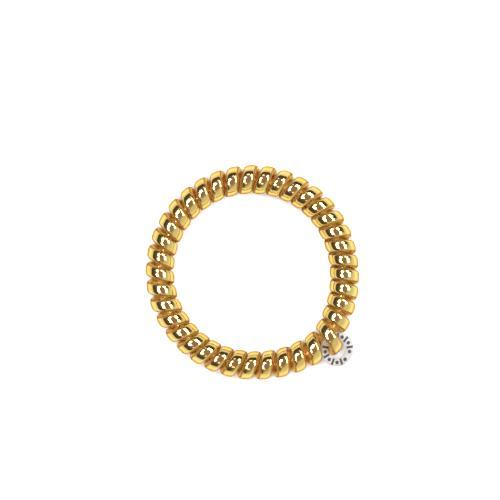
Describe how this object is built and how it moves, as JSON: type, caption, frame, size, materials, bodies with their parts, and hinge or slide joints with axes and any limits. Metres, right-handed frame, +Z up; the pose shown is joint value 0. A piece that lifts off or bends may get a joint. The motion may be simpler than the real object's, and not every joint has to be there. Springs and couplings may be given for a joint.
{
  "type": "spiral hair tie",
  "caption": "Spiral hair tie: a flattened elastic wire wound into a coil that closes as a ring, with a small flat tag ring threaded on one turn.",
  "frame": {"origin": "middle of the whole tie's outline, on the surface that it lies on", "axes": "+Z up through the ring's opening, the shortest way across the part; +Y is the top of the ring in the picture, and the tag ring is towards +X and -Y"},
  "size_m": [0.0448, 0.0452, 0.0061],
  "materials": {
    "gold_wire": "mirror-gloss metallic gold",
    "clear_tag": "milky clear, smooth, with small dark marks"
  },
  "bodies": {
    "root": {"coil": "gold_wire", "tag_ring": "clear_tag"}
  },
  "joints": []
}
